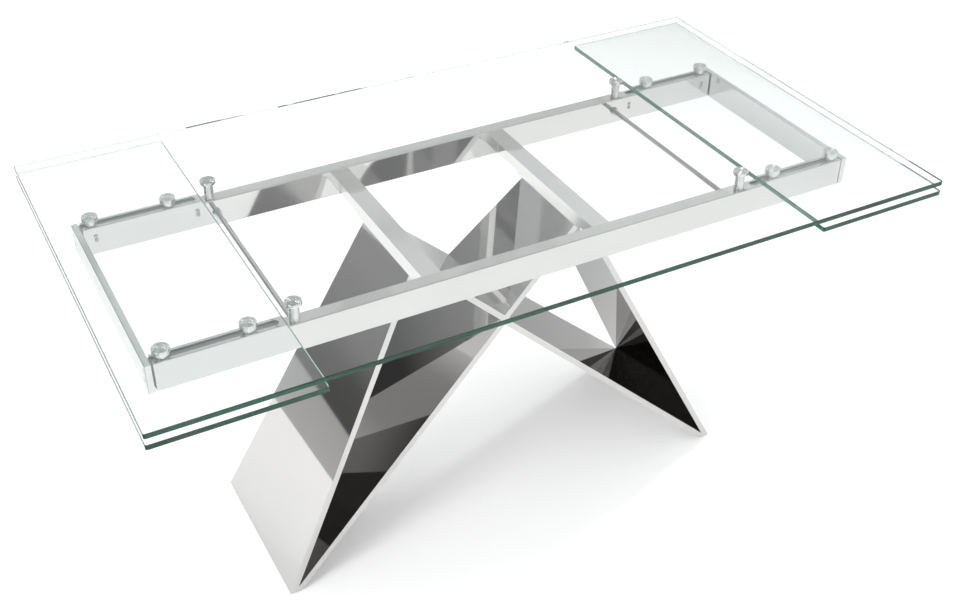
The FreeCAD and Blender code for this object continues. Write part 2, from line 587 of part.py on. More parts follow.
# ---------------------------------------------------------------- all sub-parts
def build_parts():
    """Every sub-part by name."""
    parts = {
        "top_glass": top_glass(),
        "standoff_screws": standoff_screws(),
        "tie_rod_nuts": tie_rod_nuts(),
        "slide_mount_screws": slide_mount_screws(),
        "base_panel_cross_left": cross_panel_left(),
        "base_panel_cross_right_lower": cross_panel_right(False),
        "base_panel_cross_right_upper": cross_panel_right(True),
        "base_bolts": base_bolts(),
        "base_nuts": base_nuts(),
    }
    for row_name, row in ROWS.items():
        parts[f"side_rail_{row_name}"] = side_rail(row)
    for side_name, side in SIDES.items():
        parts[f"crossbar_{side_name}"] = crossbar(side)
        parts[f"tie_rod_{side_name}"] = tie_rod(side)
        parts[f"base_panel_outer_{side_name}"] = outer_panel(side)
        parts[f"base_head_plate_{side_name}"] = head_plate(side)
        parts[f"foot_sole_{side_name}"] = sole(side)
        parts[f"leaf_glass_{side_name}"] = leaf_glass(side)
        parts[f"end_bar_{side_name}"] = end_bar(side)
        parts[f"leaf_pad_studs_{side_name}"] = leaf_pad_studs(side)
        parts[f"carriage_screws_{side_name}"] = carriage_screws(side)
        for row_name, row in ROWS.items():
            place = f"{row_name}_{side_name}"
            parts[f"standoff_{place}"] = standoff(side, row)
            parts[f"leaf_pad_inner_{place}"] = leaf_pad(side, row, PAD_INNER_X)
            parts[f"leaf_pad_outer_{place}"] = leaf_pad(side, row, PAD_OUTER_X)
            parts[f"slide_outer_{place}"] = slide_outer(side, row)
            parts[f"slide_middle_{place}"] = slide_middle(side, row)
            parts[f"slide_inner_{place}"] = slide_inner(side, row)
            parts[f"slider_bar_{place}"] = slider_bar(side, row)
    return parts


def main():
    os.makedirs("parts", exist_ok=True)
    for name, shape in build_parts().items():
        shape.exportStep(f"parts/{name}.step")
        print(f"{name}: {len(shape.Solids)} solid(s), {shape.Volume / 1000:.1f} cm3, valid {shape.isValid()}")


if __name__ == "__main__":
    main()
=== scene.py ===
"""Visual model of an extendable dining table: clear glass on a polished steel frame.

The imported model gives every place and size. Each sub-assembly is a class that dresses its own
pieces and builds the small ones that need more shape, and each finish is a frozen dataclass named
for the real material and for how its surface was made. Lengths are in metres, +Z is up.
"""
import logging
import math
from dataclasses import dataclass, field
from enum import Enum
from typing import Any, Iterable, Sequence

import bmesh
import bpy
from mathutils import Matrix, Vector


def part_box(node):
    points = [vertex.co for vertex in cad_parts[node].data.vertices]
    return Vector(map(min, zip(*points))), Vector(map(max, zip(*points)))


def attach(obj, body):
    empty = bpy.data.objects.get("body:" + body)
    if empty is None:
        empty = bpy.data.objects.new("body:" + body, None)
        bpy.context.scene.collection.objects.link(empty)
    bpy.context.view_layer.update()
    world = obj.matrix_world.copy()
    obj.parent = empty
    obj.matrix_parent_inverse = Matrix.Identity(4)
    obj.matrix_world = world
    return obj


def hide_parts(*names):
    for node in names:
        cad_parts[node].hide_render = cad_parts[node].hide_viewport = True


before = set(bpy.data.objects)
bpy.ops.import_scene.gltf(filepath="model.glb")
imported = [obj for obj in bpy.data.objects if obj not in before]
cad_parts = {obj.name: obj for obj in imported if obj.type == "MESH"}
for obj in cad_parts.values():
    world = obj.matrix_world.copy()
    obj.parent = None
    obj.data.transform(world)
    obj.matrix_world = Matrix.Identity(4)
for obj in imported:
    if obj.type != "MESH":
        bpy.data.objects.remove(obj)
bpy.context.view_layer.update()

LOG = logging.getLogger("dining_table")
MM = 0.001
SHARP_DEGREES = 32.0
# Blender's wave texture turns by 20 radians for each unit of its scale.
WAVE_RADIANS = 20.0
# A rounded corner takes up to this share of each side, and lies this far out towards the sharp one.
LONGEST_ROUND = 0.45
ROUND_FULLNESS = 0.58
UP = Vector((0, 0, 1))
WHITE = "#FFFFFF"


class Body(Enum):
    """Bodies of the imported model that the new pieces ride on."""

    FIXED = "root"
    LEFT_LEAF = "left_leaf_carriage"
    RIGHT_LEAF = "right_leaf_carriage"


class Side(Enum):
    """The two ends of the table; the value is the sign along X."""

    LEFT = -1
    RIGHT = 1

    @property
    def word(self) -> str:
        """The side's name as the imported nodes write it."""
        return self.name.lower()

    @property
    def leaf_body(self) -> Body:
        """The carriage of this end's leaf."""
        return Body.LEFT_LEAF if self is Side.LEFT else Body.RIGHT_LEAF


class Row(Enum):
    """The two long sides of the table; the value is the sign along Y."""

    FRONT = -1
    BACK = 1

    @property
    def word(self) -> str:
        """The row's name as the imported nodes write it."""
        return self.name.lower()


class Grain(Enum):
    """The direction that a finish's marks run in; the value stretches a pattern along them."""

    ALONG_X = (0.03, 1.0, 1.0)
    ALONG_Y = (1.0, 0.03, 1.0)
    NONE = (1.0, 1.0, 1.0)


# ------------------------------------------------------------------ small helpers
def linear(colour: str) -> tuple[float, float, float, float]:
    """Turn an sRGB hex colour into linear RGBA.

    Args:
        colour: six hex digits after a hash.

    Returns:
        The linear colour with an alpha of one.
    """
    digits = colour.lstrip("#")
    shares = [int(digits[k:k + 2], 16) / 255 for k in (0, 2, 4)]
    red, green, blue = (s / 12.92 if s <= 0.04045 else ((s + 0.055) / 1.055) ** 2.4 for s in shares)
    return (red, green, blue, 1.0)


def per_metre(size_mm: float) -> float:
    """Pattern scale whose features are about size_mm across."""
    return 1.0 / (size_mm * MM)


def add_node(tree: bpy.types.NodeTree, kind: str, settings: dict[str, Any] | None = None,
             links: dict[str | int, bpy.types.NodeSocket] | None = None) -> bpy.types.Node:
    """Add one node with its settings and links.

    Args:
        tree: the tree it goes in.
        kind: Blender's name of the node type.
        settings: a value for each input socket, or for each attribute where no socket has the name.
        links: the output socket that feeds each input.

    Returns:
        The new node.
    """
    node = tree.nodes.new(kind)
    for name, value in (settings or {}).items():
        if isinstance(name, str) and name in node.bl_rna.properties:
            setattr(node, name, value)
        else:
            node.inputs[name].default_value = value
    for name, source in (links or {}).items():
        tree.links.new(source, node.inputs[name])
    return node


def set_ramp(node: bpy.types.Node, stops: Sequence[tuple[float, float]]) -> bpy.types.Node:
    """Give a colour ramp grey stops.

    Args:
        node: the ramp.
        stops: place and grey level of each stop, from left to right.

    Returns:
        The same node.
    """
    elements = node.color_ramp.elements
    while len(elements) < len(stops):
        elements.new(1.0)
    for element, (place, level) in zip(elements, stops):
        element.position = place
        element.color = (level, level, level, 1.0)
    return node


def new_material(name: str) -> tuple[bpy.types.Material, bpy.types.NodeTree, bpy.types.Node]:
    """Start a material.

    Args:
        name: the material's name.

    Returns:
        The material, its empty tree and its output node.
    """
    material = bpy.data.materials.new(name)
    material.use_nodes = True
    tree = material.node_tree
    tree.nodes.clear()
    return material, tree, tree.nodes.new("ShaderNodeOutputMaterial")


# ------------------------------------------------------------------ finishes
@dataclass(frozen=True)
class ClearFloatGlass:
    """Clear soda-lime float glass, toughened, with flat polished edges and ground arrises.

    The iron in it takes up red light first, so a look along the pane is deep green while a look
    through 10 mm of it is almost colourless. The arrises are ground, so they scatter a little. On top of
    what the depth gives, the edge faces carry a painted green shade for the deeper green seen along the pane.
    Bands are places along the absolute Z of the surface's normal: 0 on an edge, 1 on a face.
    """

    name: str = "clear_float_glass"
    tint: str = "#55C8B7"
    depth_density: float = 3.7
    ior: float = 1.52
    arris_roughness: float = 0.22
    edge_tint: str = "#6FA395"
    lamp_tint: str = "#FDFEFE"
    arris_band: tuple[float, float, float, float] = (0.2, 0.35, 0.85, 0.95)
    edge_band: tuple[float, float] = (0.9, 0.95)
    roller_wave_mm: float = 260.0
    roller_wave_depth_mm: float = 0.4
    roller_wave_strength: float = 0.003

    def build(self) -> bpy.types.Material:
        """Make the material.

        Returns:
            Glass whose volume tints light by the distance it runs inside.
        """
        material, tree, output = new_material(self.name)
        coord = add_node(tree, "ShaderNodeTexCoord")
        geometry = add_node(tree, "ShaderNodeNewGeometry")
        normal = add_node(tree, "ShaderNodeSeparateXYZ", links={0: geometry.outputs["True Normal"]})
        slant = add_node(tree, "ShaderNodeMath", {"operation": "ABSOLUTE"}, {0: normal.outputs["Z"]})
        levels = (0.0, self.arris_roughness, self.arris_roughness, 0.0)
        arris = set_ramp(add_node(tree, "ShaderNodeValToRGB", links={0: slant.outputs[0]}),
                         list(zip(self.arris_band, levels)))
        # Painted shade: the edge faces take a green tint that stands in for the deeper green of light running
        # along the pane.
        edge = set_ramp(add_node(tree, "ShaderNodeValToRGB", links={0: slant.outputs[0]}),
                        list(zip(self.edge_band, (1.0, 0.0))))
        colour = add_node(tree, "ShaderNodeMix",
                          {"data_type": "RGBA", 6: linear(WHITE), 7: linear(self.edge_tint)},
                          {0: edge.outputs["Color"]})
        wave = add_node(tree, "ShaderNodeTexNoise", {"Scale": per_metre(self.roller_wave_mm), "Detail": 1.0},
                        {"Vector": coord.outputs["Object"]})
        bump = add_node(tree, "ShaderNodeBump", {"Strength": self.roller_wave_strength,
                                                     "Distance": self.roller_wave_depth_mm * MM},
                        {"Height": wave.outputs["Fac"]})
        glass = add_node(tree, "ShaderNodeBsdfPrincipled",
                         {"Transmission Weight": 1.0, "IOR": self.ior},
                         {"Base Color": colour.outputs[2], "Roughness": arris.outputs["Color"],
                          "Normal": bump.outputs["Normal"]})
        lamp_light = add_node(tree, "ShaderNodeBsdfTransparent", {"Color": linear(self.lamp_tint)})
        path = add_node(tree, "ShaderNodeLightPath")
        mix = add_node(tree, "ShaderNodeMixShader", links={
            0: path.outputs["Is Shadow Ray"], 1: glass.outputs[0], 2: lamp_light.outputs[0]})
        depth = add_node(tree, "ShaderNodeVolumeAbsorption",
                         {"Color": linear(self.tint), "Density": self.depth_density})
        tree.links.new(mix.outputs[0], output.inputs["Surface"])
        tree.links.new(depth.outputs[0], output.inputs["Volume"])
        return material


@dataclass(frozen=True)
class Steel:
    """Steel whose surface was worked in one direction or to a mirror.

    Fine marks of the last wheel or belt lie along the grain: they vary the gloss a little and
    draw faint lines, and a slow waviness bends what the surface mirrors.
    """

    name: str
    colour: str
    shade: str
    roughness: float
    roughness_spread: float
    grain: Grain = Grain.NONE
    mark_mm: float = 3.0
    mark_depth_mm: float = 0.004
    wave_mm: float = 180.0
    wave_depth_mm: float = 0.02

    def build(self) -> bpy.types.Material:
        """Make the material.

        Returns:
            Metal with marks along its grain and a slow waviness.
        """
        material, tree, output = new_material(self.name)
        coord = add_node(tree, "ShaderNodeTexCoord")
        stretch = add_node(tree, "ShaderNodeMapping", {"Scale": self.grain.value},
                           {"Vector": coord.outputs["Object"]})
        marks = add_node(tree, "ShaderNodeTexNoise",
                         {"Scale": per_metre(self.mark_mm), "Detail": 5.0, "Roughness": 0.65},
                         {"Vector": stretch.outputs[0]})
        patches = add_node(tree, "ShaderNodeTexNoise", {"Scale": per_metre(self.wave_mm), "Detail": 2.0},
                           {"Vector": coord.outputs["Object"]})
        gloss = add_node(tree, "ShaderNodeMapRange",
                         {"To Min": self.roughness - self.roughness_spread,
                          "To Max": self.roughness + self.roughness_spread},
                         {"Value": marks.outputs["Fac"]})
        colour = add_node(tree, "ShaderNodeMix",
                          {"data_type": "RGBA", 6: linear(self.shade), 7: linear(self.colour)},
                          {0: patches.outputs["Fac"]})
        waves = add_node(tree, "ShaderNodeBump", {"Strength": 1.0, "Distance": self.wave_depth_mm * MM},
                         {"Height": patches.outputs["Fac"]})
        lines = add_node(tree, "ShaderNodeBump", {"Strength": 1.0, "Distance": self.mark_depth_mm * MM},
                         {"Height": marks.outputs["Fac"], "Normal": waves.outputs["Normal"]})
        steel = add_node(tree, "ShaderNodeBsdfPrincipled", {"Metallic": 1.0},
                         {"Base Color": colour.outputs[2], "Roughness": gloss.outputs[0],
                          "Normal": lines.outputs["Normal"]})
        tree.links.new(steel.outputs[0], output.inputs["Surface"])
        return material


@dataclass(frozen=True)
class LatheTurnedSteel:
    """Stainless steel faced and turned on a lathe, then buffed.

    The tool's rings are far finer than the eye sees, so the gloss is stretched across them. Real
    rings are about 0.05 mm apart and are drawn far coarser, to show close up.
    """

    name: str = "lathe_turned_steel"
    colour: str = "#F0F0EE"
    shade: str = "#DEDEDD"
    roughness: float = 0.26
    roughness_spread: float = 0.03
    anisotropy: float = 1.0
    quarter_turn: float = 0.25
    ring_mm: float = 5.655
    ring_depth_mm: float = 0.003
    ring_wobble: float = 0.4
    cloud_mm: float = 9.0

    def build(self) -> bpy.types.Material:
        """Make the material.

        Returns:
            Metal with ring marks about each piece's own axis.
        """
        material, tree, output = new_material(self.name)
        coord = add_node(tree, "ShaderNodeTexCoord")
        tangent = add_node(tree, "ShaderNodeTangent", {"direction_type": "RADIAL", "axis": "Z"})
        rings = add_node(tree, "ShaderNodeTexWave",
                         {"wave_type": "RINGS", "rings_direction": "Z",
                          "Scale": 2 * math.pi * per_metre(self.ring_mm) / WAVE_RADIANS,
                          "Distortion": self.ring_wobble, "Detail": 1.0},
                         {"Vector": coord.outputs["Object"]})
        cloud = add_node(tree, "ShaderNodeTexNoise", {"Scale": per_metre(self.cloud_mm), "Detail": 3.0},
                         {"Vector": coord.outputs["Object"]})
        colour = add_node(tree, "ShaderNodeMix",
                          {"data_type": "RGBA", 6: linear(self.shade), 7: linear(self.colour)},
                          {0: cloud.outputs["Fac"]})
        gloss = add_node(tree, "ShaderNodeMapRange",
                         {"To Min": self.roughness - self.roughness_spread,
                          "To Max": self.roughness + self.roughness_spread},
                         {"Value": rings.outputs["Fac"]})
        bump = add_node(tree, "ShaderNodeBump", {"Strength": 1.0, "Distance": self.ring_depth_mm * MM},
                        {"Height": rings.outputs["Fac"]})
        steel = add_node(tree, "ShaderNodeBsdfPrincipled",
                         {"Metallic": 1.0, "Anisotropic": self.anisotropy,
                          "Anisotropic Rotation": self.quarter_turn},
                         {"Base Color": colour.outputs[2], "Roughness": gloss.outputs[0],
                          "Normal": bump.outputs["Normal"], "Tangent": tangent.outputs[0]})
        tree.links.new(steel.outputs[0], output.inputs["Surface"])
        return material


@dataclass(frozen=True)
class MouldedNylon:
    """Pale nylon, moulded and slightly scuffed: a soft sheen over a fine spark-eroded grain."""

    name: str = "moulded_nylon"
    colour: str = "#D9D8D2"
    shade: str = "#C4C3BC"
    ior: float = 1.53
    roughness_range: tuple[float, float] = (0.42, 0.62)
    grain_mm: float = 1.6
    grain_depth_mm: float = 0.05
    grain_strength: float = 0.4
    scuff_mm: float = 30.0

    def build(self) -> bpy.types.Material:
        """Make the material.

        Returns:
            Pale plastic with a fine moulded grain.
        """
        material, tree, output = new_material(self.name)
        coord = add_node(tree, "ShaderNodeTexCoord")
        grain = add_node(tree, "ShaderNodeTexNoise", {"Scale": per_metre(self.grain_mm), "Detail": 4.0},
                         {"Vector": coord.outputs["Object"]})
        scuff = add_node(tree, "ShaderNodeTexNoise", {"Scale": per_metre(self.scuff_mm), "Detail": 5.0},
                         {"Vector": coord.outputs["Object"]})
        colour = add_node(tree, "ShaderNodeMix",
                          {"data_type": "RGBA", 6: linear(self.shade), 7: linear(self.colour)},
                          {0: scuff.outputs["Fac"]})
        gloss = add_node(tree, "ShaderNodeMapRange",
                         {"To Min": self.roughness_range[0], "To Max": self.roughness_range[1]},
                         {"Value": scuff.outputs["Fac"]})
        bump = add_node(tree, "ShaderNodeBump", {"Strength": self.grain_strength,
                                                     "Distance": self.grain_depth_mm * MM},
                        {"Height": grain.outputs["Fac"]})
        nylon = add_node(tree, "ShaderNodeBsdfPrincipled", {"IOR": self.ior},
                         {"Base Color": colour.outputs[2], "Roughness": gloss.outputs[0],
                          "Normal": bump.outputs["Normal"]})
        tree.links.new(nylon.outputs[0], output.inputs["Surface"])
        return material


@dataclass
class Finishes:
    """Every finish of the table, built once."""

    glass: bpy.types.Material = field(init=False)
    mirror: bpy.types.Material = field(init=False)
    rail: bpy.types.Material = field(init=False)
    bar: bpy.types.Material = field(init=False)
    turned: bpy.types.Material = field(init=False)
    aluminium: bpy.types.Material = field(init=False)
    zinc: bpy.types.Material = field(init=False)
    nylon: bpy.types.Material = field(init=False)

    def __post_init__(self) -> None:
        """Build the materials."""
        self.glass = ClearFloatGlass().build()
        # Stainless sheet polished to a mirror: it shows its surroundings with hardly any blur.
        self.mirror = Steel("mirror_polished_stainless", "#D1D0CF", "#CCCBCA", 0.03, 0.012,
                            mark_depth_mm=0.0006, wave_mm=240.0, wave_depth_mm=0.03).build()
        # Stainless tube buffed lengthwise: a mirror with a soft drag along the tube.
        self.rail = Steel("buffed_stainless_tube", "#D9D8D7", "#D2D1D0", 0.06, 0.03, Grain.ALONG_X,
                          mark_mm=2.5, mark_depth_mm=0.0012).build()
        # The cross members are belt ground across the table, so they stay satin.
        self.bar = Steel("belt_ground_steel", "#E2E1E0", "#D9D8D7", 0.17, 0.05, Grain.ALONG_Y,
                         mark_mm=2.0, mark_depth_mm=0.004).build()
        self.turned = LatheTurnedSteel().build()
        # Aluminium as extruded: die lines along the bar over a matt skin.
        self.aluminium = Steel("extruded_aluminium", "#8F9194", "#7F8184", 0.3, 0.07, Grain.ALONG_X,
                               mark_mm=1.4, mark_depth_mm=0.01).build()
        # Bright zinc plate: a faintly blue, slightly cloudy shine.
        self.zinc = Steel("bright_zinc_plate", "#CDD0D4", "#B4B8BE", 0.24, 0.08,
                          mark_mm=4.0, mark_depth_mm=0.006, wave_mm=14.0).build()
        self.nylon = MouldedNylon().build()


def dress(node: str, material: bpy.types.Material) -> None:
    """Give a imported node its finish.

    Args:
        node: the node's name.
        material: its finish.
    """
    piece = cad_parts[node]
    if not piece.material_slots:
        piece.data.materials.append(material)
    for slot in piece.material_slots:
        slot.material = material
    LOG.info("%s: %s", node, material.name)


# ------------------------------------------------------------------ mesh work
def circle(centre: Vector, turn: Matrix, radius: float, height: float, count: int) -> list[Vector]:
    """Points of a circle about a turned Z axis.

    Args:
        centre: the point of height zero on the axis.
        turn: the rotation that brings Z to the axis.
        radius: the circle's radius.
        height: its place along the axis.
        count: how many points it has.

    Returns:
        The points in order.
    """
    angles = [2 * math.pi * k / count for k in range(count)]
    return [centre + turn @ Vector((radius * math.cos(a), radius * math.sin(a), height)) for a in angles]


@dataclass
class MeshDraft:
    """Vertices and faces gathered before they become one piece."""

    points: list[Vector] = field(default_factory=list)
    faces: list[tuple[int, ...]] = field(default_factory=list)

    def loop(self, points: Iterable[Vector]) -> list[int]:
        """Add points and return their numbers."""
        first = len(self.points)
        self.points += points
        return list(range(first, len(self.points)))

    def band(self, low: Sequence[int], high: Sequence[int]) -> None:
        """Join two closed loops of as many points with four-sided faces."""
        for k in range(len(low)):
            following = (k + 1) % len(low)
            self.faces.append((low[k], low[following], high[following], high[k]))

    def lathe(self, profile: Sequence[tuple[float, float]], segments: int = 72) -> None:
        """Turn a profile that starts and ends on the Z axis.

        Args:
            profile: (radius, height) pairs in metres, from the lowest to the highest.
            segments: facets round the piece.
        """
        rings = []
        for radius, height in profile:
            count = segments if radius > 0 else 1
            rings.append(self.loop(circle(Vector(), Matrix.Identity(3), radius, height, count)))
        for low, high in zip(rings, rings[1:]):
            for k in range(segments):
                following = (k + 1) % segments
                corners = [low[k % len(low)], low[following % len(low)],
                           high[following % len(high)], high[k % len(high)]]
                face = tuple(dict.fromkeys(corners))
                if len(face) > 2:
                    self.faces.append(face)

    def tube(self, path: Sequence[Vector], radii: Sequence[float], sides: int = 12) -> None:
        """A closed tube of changing radius along a path.

        Args:
            path: the middle line's points.
            radii: a radius for each point.
            sides: facets round the tube.
        """
        rings = []
        for k, (point, radius) in enumerate(zip(path, radii)):
            ahead = path[min(k + 1, len(path) - 1)] - path[max(k - 1, 0)]
            turn = UP.rotation_difference(ahead.normalized()).to_matrix()
            rings.append(self.loop(circle(point, turn, radius, 0.0, sides)))
        for low, high in zip(rings, rings[1:]):
            self.band(low, high)
        self.faces.append(tuple(reversed(rings[0])))
        self.faces.append(tuple(rings[-1]))

    def finish(self, name: str, material: bpy.types.Material, body: Body,
               replaced: Iterable[str] = (), place: Vector = Vector((0, 0, 0))) -> None:
        """Make the piece, dress it and put it on its body.

        Args:
            name: the piece's name.
            material: its finish.
            body: the body that it rides on.
            replaced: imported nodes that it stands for.
            place: where the draft's origin goes.
        """
        mesh = bpy.data.meshes.new(name)
        mesh.from_pydata([tuple(point) for point in self.points], [], self.faces)
        work = bmesh.new()
        work.from_mesh(mesh)
        bmesh.ops.recalc_face_normals(work, faces=work.faces)
        work.to_mesh(mesh)
        work.free()
        for polygon in mesh.polygons:
            polygon.use_smooth = True
        mesh.set_sharp_from_angle(angle=math.radians(SHARP_DEGREES))
        mesh.materials.append(material)
        piece = bpy.data.objects.new(name, mesh)
        piece.location = place
        bpy.context.scene.collection.objects.link(piece)
        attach(piece, body.value)
        if replaced:
            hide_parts(*replaced)
        LOG.info("%s: %d faces, rides %s", name, len(mesh.polygons), body.value)


@dataclass
class CrossRecessScrew:
    """A pan head screw with a cross recess. Shares are of the head's radius or height."""

    head_height: float = 2.2 * MM
    shank_radius: float = 2.0 * MM
    flat_share: float = 0.74
    shoulder_shares: tuple[float, float] = (0.9, 0.14)
    rim_drop_share: float = 0.45
    recess_reach_share: float = 0.55
    recess_half_share: float = 0.13
    recess_taper: float = 0.8
    recess_depth_share: float = 0.6
    sides: int = 32

    def add(self, draft: MeshDraft, top: Vector, axis: Vector, head_radius: float, length: float) -> None:
        """Add one screw to a draft.

        Args:
            draft: the draft.
            top: the middle of the head's upper face.
            axis: the direction that the head faces.
            head_radius: the head's radius.
            length: the whole length.
        """
        turn = UP.rotation_difference(axis).to_matrix()
        width, drop = self.shoulder_shares
        profile = [(self.flat_share * head_radius, 0.0), (width * head_radius, drop * self.head_height),
                   (head_radius, self.rim_drop_share * self.head_height), (head_radius, self.head_height),
                   (self.shank_radius, self.head_height), (self.shank_radius, length)]
        rings = [draft.loop(circle(top, turn, radius, -fall, self.sides)) for radius, fall in profile]
        for upper, lower in zip(rings, rings[1:]):
            draft.band(upper, lower)
        draft.faces.append(tuple(rings[-1]))
        mouth = draft.loop(self.cross(top, turn, head_radius, 0.0))
        bottom = draft.loop(self.cross(top, turn, head_radius * self.recess_taper,
                                       self.recess_depth_share * self.head_height))
        draft.band(mouth, bottom)
        draft.faces.append(tuple(bottom))
        self.fill_top(draft, rings[0], mouth)

    def cross(self, top: Vector, turn: Matrix, radius: float, drop: float) -> list[Vector]:
        """The recess's outline at one depth.

        Args:
            top: the middle of the head's upper face.
            turn: the rotation that brings Z to the screw's axis.
            radius: the radius that the recess's shares are of.
            drop: how far under the top it lies.

        Returns:
            Two tip points and one inner corner for each of the four arms.
        """
        reach, half = self.recess_reach_share * radius, self.recess_half_share * radius
        arm = [Vector((reach, -half, -drop)), Vector((reach, half, -drop)), Vector((half, half, -drop))]
        quarters = [Matrix.Rotation(math.pi / 2 * k, 3, "Z") for k in range(4)]
        return [top + turn @ (quarter @ point) for quarter in quarters for point in arm]

    def fill_top(self, draft: MeshDraft, rim: Sequence[int], mouth: Sequence[int]) -> None:
        """Close the flat top between its rim and the recess's mouth.

        Args:
            draft: the draft.
            rim: the rim's point numbers.
            mouth: the mouth's point numbers.
        """
        step = self.sides // 4
        for arm in range(4):
            at = step * arm
            near_tip, far_tip, corner = mouth[3 * arm:3 * arm + 3]
            following = mouth[(3 * arm + 3) % len(mouth)]
            draft.faces.append((near_tip, rim[at - 1], rim[at], rim[at + 1], far_tip))
            arc = tuple(rim[at + k] for k in range(1, step))
            draft.faces.append((far_tip, *arc, following, corner))


def loose_boxes(node: str) -> list[tuple[Vector, Vector]]:
    """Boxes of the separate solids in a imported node.

    Args:
        node: the node's name.

    Returns:
        The low and the high corner of each solid.
    """
    work = bmesh.new()
    work.from_mesh(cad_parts[node].data)
    bmesh.ops.remove_doubles(work, verts=work.verts, dist=0.001 * MM)
    boxes, seen = [], set()
    for start in work.verts:
        if start in seen:
            continue
        seen.add(start)
        group = [start]
        for vertex in group:
            for edge in vertex.link_edges:
                other = edge.other_vert(vertex)
                if other not in seen:
                    seen.add(other)
                    group.append(other)
        spans = [[vertex.co[axis] for vertex in group] for axis in range(3)]
        boxes.append((Vector([min(span) for span in spans]), Vector([max(span) for span in spans])))
    work.free()
    return boxes


def middle(node: str) -> Vector:
    """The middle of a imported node's box."""
    low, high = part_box(node)
    return (low + high) / 2


def rounded_profile(corners: Sequence[tuple[float, float]], radius: float) -> list[tuple[float, float]]:
    """Round the inner corners of a turned profile.

    Args:
        corners: (radius, height) corners, the first and the last on the axis.
        radius: how far the rounding reaches from each corner.

    Returns:
        The profile with three points in place of each inner corner.
    """
    result = [corners[0]]
    for before, here, after in zip(corners, corners[1:], corners[2:]):
        back = Vector(before) - Vector(here)
        ahead = Vector(after) - Vector(here)
        reach = min(radius, LONGEST_ROUND * back.length, LONGEST_ROUND * ahead.length)
        start = Vector(here) + back.normalized() * reach
        end = Vector(here) + ahead.normalized() * reach
        centre = ((start + end) / 2).lerp(Vector(here), ROUND_FULLNESS)
        result += [tuple(start), tuple(centre), tuple(end)]
    result.append(corners[-1])
    return result


# ------------------------------------------------------------------ sub-assemblies
@dataclass
class GlassPanes:
    """The fixed top and the two leaves under its ends."""

    finishes: Finishes

    def build(self) -> None:
        """Dress the three panes."""
        for node in ("top_glass", "leaf_glass_left", "leaf_glass_right"):
            dress(node, self.finishes.glass)


@dataclass
class SideFrame:
    """Rails, crossbars, tie rods with their nuts, and the weld beads that join the crossbars."""

    finishes: Finishes
    bead_radius: float = 1.6 * MM
    bead_sink: float = 0.2
    ripple_pitch: float = 2.4 * MM
    ripple_share: float = 0.14
    points_per_ripple: int = 3

    def build(self) -> None:
        """Dress the frame and run its welds."""
        for row in Row:
            dress(f"side_rail_{row.word}", self.finishes.rail)
        for side in Side:
            dress(f"crossbar_{side.word}", self.finishes.bar)
            dress(f"tie_rod_{side.word}", self.finishes.bar)
            dress(f"end_bar_{side.word}", self.finishes.bar)
            self.welds(side)
        for node in ("tie_rod_nuts", "standoff_screws"):
            dress(node, self.finishes.zinc)

    def welds(self, side: Side) -> None:
        """Weld beads round both ends of a crossbar, where it meets the rails.

        Args:
            side: the crossbar's end of the table.
        """
        low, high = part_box(f"crossbar_{side.word}")
        draft = MeshDraft()
        sink = self.bead_radius * self.bead_sink
        for y in (low.y + sink, high.y - sink):
            for x0, z0, x1, z1 in ((low.x, low.z, low.x, high.z), (high.x, high.z, high.x, low.z),
                                   (low.x, high.z, high.x, high.z)):
                start, end = Vector((x0, y, z0)), Vector((x1, y, z1))
                count = max(4, int((end - start).length / self.ripple_pitch) * self.points_per_ripple)
                path = [start.lerp(end, k / count) for k in range(count + 1)]
                waves = [math.cos(2 * math.pi * k / self.points_per_ripple) for k in range(count + 1)]
                trough = 1 - self.ripple_share
                radii = [self.bead_radius * (trough + self.ripple_share * wave) for wave in waves]
                draft.tube(path, radii)
        draft.finish(f"crossbar_welds_{side.word}", self.finishes.bar, Body.FIXED)


